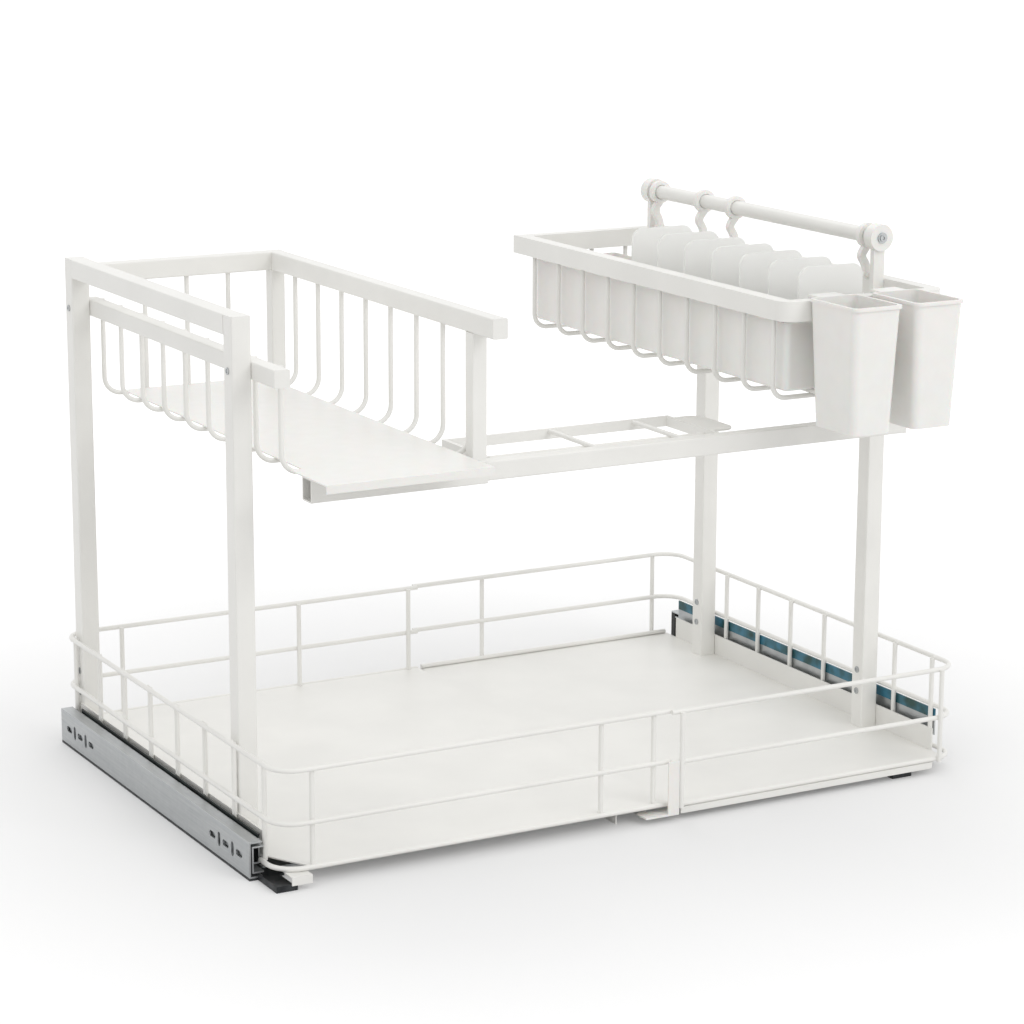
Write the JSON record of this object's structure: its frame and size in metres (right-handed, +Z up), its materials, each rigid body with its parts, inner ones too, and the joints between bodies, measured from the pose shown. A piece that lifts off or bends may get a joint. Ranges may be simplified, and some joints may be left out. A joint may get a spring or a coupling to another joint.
{
  "type": "under sink organizer",
  "caption": "Two-level pull-out wire organizer for a cabinet floor, with a width-adjustable tray, an open shelf, a divided hanging basket, a towel bar with ring hooks, and hanging cups.",
  "frame": {"origin": "middle of the footprint, on the cabinet floor, at rest with the drawer closed and the tray at full width", "axes": "+X from the shelf side towards the basket side along the adjustable width, +Y towards the back of the cabinet, +Z up"},
  "size_m": [0.6122, 0.491, 0.43],
  "materials": {
    "powder_coated_steel": "smooth satin off-white powder coat",
    "zinc_plated_steel": "rolled, zinc plated, lightly greased",
    "black_plastic": "fine matte",
    "white_plastic": "smooth moulded, semi-gloss",
    "frosted_plastic": "frosted translucent polypropylene",
    "pale_plastic": "smooth moulded, semi-gloss",
    "satin_steel": "satin off-white powder coat",
    "screw_steel": "plain zinc"
  },
  "bodies": {
    "base_left": {"left_slide_outer": "zinc_plated_steel", "left_floor_bracket": "zinc_plated_steel", "left_cross_straps": "zinc_plated_steel", "centre_rail": "powder_coated_steel", "centre_glide": "black_plastic", "left_slide_stop": "black_plastic"},
    "base_right": {"right_slide_outer": "zinc_plated_steel", "right_floor_bracket": "zinc_plated_steel", "right_cross_straps": "zinc_plated_steel", "right_slide_stop": "black_plastic"},
    "left_middle_member": {"left_slide_middle": "zinc_plated_steel"},
    "right_middle_member": {"right_slide_middle": "zinc_plated_steel"},
    "left_outer_balls": {"left_outer_cage": "zinc_plated_steel"},
    "left_inner_balls": {"left_inner_cage": "zinc_plated_steel"},
    "right_outer_balls": {"right_outer_cage": "zinc_plated_steel"},
    "right_inner_balls": {"right_inner_cage": "zinc_plated_steel"},
    "drawer_left": {"left_slide_inner": "zinc_plated_steel", "left_tray": "powder_coated_steel", "left_fence": "powder_coated_steel", "left_front_post": "powder_coated_steel", "left_back_post": "powder_coated_steel", "left_top_tube": "powder_coated_steel", "shelf_left_rail": "powder_coated_steel", "shelf_back_rail": "powder_coated_steel", "shelf_right_rail": "powder_coated_steel", "shelf_uprights": "powder_coated_steel", "shelf_wires": "powder_coated_steel", "shelf_floor": "white_plastic", "beam_sleeve": "powder_coated_steel", "left_frame_screws": "screw_steel"},
    "drawer_right": {"right_slide_inner": "zinc_plated_steel", "right_tray": "powder_coated_steel", "right_fence": "powder_coated_steel", "right_front_post": "powder_coated_steel", "right_back_post": "powder_coated_steel", "basket_rim": "powder_coated_steel", "basket_wires": "powder_coated_steel", "beam_inner": "powder_coated_steel", "beam_rack": "powder_coated_steel", "joint_clip": "white_plastic", "towel_bar": "satin_steel", "front_bar_bracket": "white_plastic", "back_bar_bracket": "white_plastic", "right_frame_screws": "screw_steel"},
    "left_lever": {"left_release_lever": "black_plastic"},
    "right_lever": {"right_release_lever": "black_plastic"},
    "liner": {"basket_liner": "white_plastic"},
    "divider_plate_1": {"divider_1": "frosted_plastic"},
    "divider_plate_2": {"divider_2": "frosted_plastic"},
    "divider_plate_3": {"divider_3": "frosted_plastic"},
    "divider_plate_4": {"divider_4": "frosted_plastic"},
    "divider_plate_5": {"divider_5": "frosted_plastic"},
    "divider_plate_6": {"divider_6": "frosted_plastic"},
    "divider_plate_7": {"divider_7": "frosted_plastic"},
    "hook_1": {"ring_hook_1": "white_plastic"},
    "hook_2": {"ring_hook_2": "white_plastic"},
    "hook_3": {"ring_hook_3": "white_plastic"},
    "hook_4": {"ring_hook_4": "white_plastic"},
    "hanging_cup_1": {"cup_1": "pale_plastic"},
    "hanging_cup_2": {"cup_2": "pale_plastic"}
  },
  "joints": [
    {"name": "drawer_pull", "type": "slide", "parent": "base_left", "child": "drawer_left", "axis": [0, -1, 0], "range_m": [0, 0.36]},
    {"name": "width", "type": "slide", "parent": "drawer_left", "child": "drawer_right", "axis": [-1, 0, 0], "range_m": [0, 0.095]},
    {"name": "base_width", "type": "slide", "parent": "base_left", "child": "base_right", "axis": [-1, 0, 0], "range_m": [0, 0.095]},
    {"name": "left_middle_slide", "type": "slide", "parent": "base_left", "child": "left_middle_member", "axis": [0, -1, 0], "range_m": [0, 0.18]},
    {"name": "right_middle_slide", "type": "slide", "parent": "base_right", "child": "right_middle_member", "axis": [0, -1, 0], "range_m": [0, 0.18]},
    {"name": "left_outer_ball_roll", "type": "slide", "parent": "base_left", "child": "left_outer_balls", "axis": [0, -1, 0], "range_m": [0, 0.09]},
    {"name": "left_inner_ball_roll", "type": "slide", "parent": "base_left", "child": "left_inner_balls", "axis": [0, -1, 0], "range_m": [0, 0.27]},
    {"name": "right_outer_ball_roll", "type": "slide", "parent": "base_right", "child": "right_outer_balls", "axis": [0, -1, 0], "range_m": [0, 0.09]},
    {"name": "right_inner_ball_roll", "type": "slide", "parent": "base_right", "child": "right_inner_balls", "axis": [0, -1, 0], "range_m": [0, 0.27]},
    {"name": "left_lever_tilt", "type": "hinge", "parent": "drawer_left", "child": "left_lever", "pos_m": [-0.29585, -0.12762, 0.0153], "axis": [1, 0, 0], "range_deg": [-5, 5]},
    {"name": "right_lever_tilt", "type": "hinge", "parent": "drawer_right", "child": "right_lever", "pos_m": [0.29585, -0.09963, 0.0153], "axis": [1, 0, 0], "range_deg": [-5, 5]},
    {"name": "liner_lift", "type": "slide", "parent": "drawer_right", "child": "liner", "axis": [0, 0, 1], "range_m": [0, 0.06]},
    {"name": "divider_lift_1", "type": "slide", "parent": "liner", "child": "divider_plate_1", "axis": [0, 0, 1], "range_m": [0, 0.05]},
    {"name": "divider_lift_2", "type": "slide", "parent": "liner", "child": "divider_plate_2", "axis": [0, 0, 1], "range_m": [0, 0.05]},
    {"name": "divider_lift_3", "type": "slide", "parent": "liner", "child": "divider_plate_3", "axis": [0, 0, 1], "range_m": [0, 0.05]},
    {"name": "divider_lift_4", "type": "slide", "parent": "liner", "child": "divider_plate_4", "axis": [0, 0, 1], "range_m": [0, 0.05]},
    {"name": "divider_lift_5", "type": "slide", "parent": "liner", "child": "divider_plate_5", "axis": [0, 0, 1], "range_m": [0, 0.05]},
    {"name": "divider_lift_6", "type": "slide", "parent": "liner", "child": "divider_plate_6", "axis": [0, 0, 1], "range_m": [0, 0.05]},
    {"name": "divider_lift_7", "type": "slide", "parent": "liner", "child": "divider_plate_7", "axis": [0, 0, 1], "range_m": [0, 0.05]},
    {"name": "hook_slide_1", "type": "slide", "parent": "drawer_right", "child": "hook_1", "axis": [0, 1, 0], "range_m": [-0.0036, 0.09]},
    {"name": "hook_slide_2", "type": "slide", "parent": "drawer_right", "child": "hook_2", "axis": [0, 1, 0], "range_m": [-0.09, 0.018]},
    {"name": "hook_slide_3", "type": "slide", "parent": "drawer_right", "child": "hook_3", "axis": [0, 1, 0], "range_m": [-0.018, 0.03]},
    {"name": "hook_slide_4", "type": "slide", "parent": "drawer_right", "child": "hook_4", "axis": [0, 1, 0], "range_m": [-0.03, 0.0028]},
    {"name": "cup_lift_1", "type": "slide", "parent": "drawer_right", "child": "hanging_cup_1", "axis": [0, 0, 1], "range_m": [0, 0.02]},
    {"name": "cup_lift_2", "type": "slide", "parent": "drawer_right", "child": "hanging_cup_2", "axis": [0, 0, 1], "range_m": [0, 0.02]}
  ],
  "couplings": [
    {"joint": "base_width", "follows": "width", "ratio": 1},
    {"joint": "left_middle_slide", "follows": "drawer_pull", "ratio": 0.5},
    {"joint": "right_middle_slide", "follows": "drawer_pull", "ratio": 0.5},
    {"joint": "left_outer_ball_roll", "follows": "drawer_pull", "ratio": 0.25},
    {"joint": "left_inner_ball_roll", "follows": "drawer_pull", "ratio": 0.75},
    {"joint": "right_outer_ball_roll", "follows": "drawer_pull", "ratio": 0.25},
    {"joint": "right_inner_ball_roll", "follows": "drawer_pull", "ratio": 0.75}
  ]
}
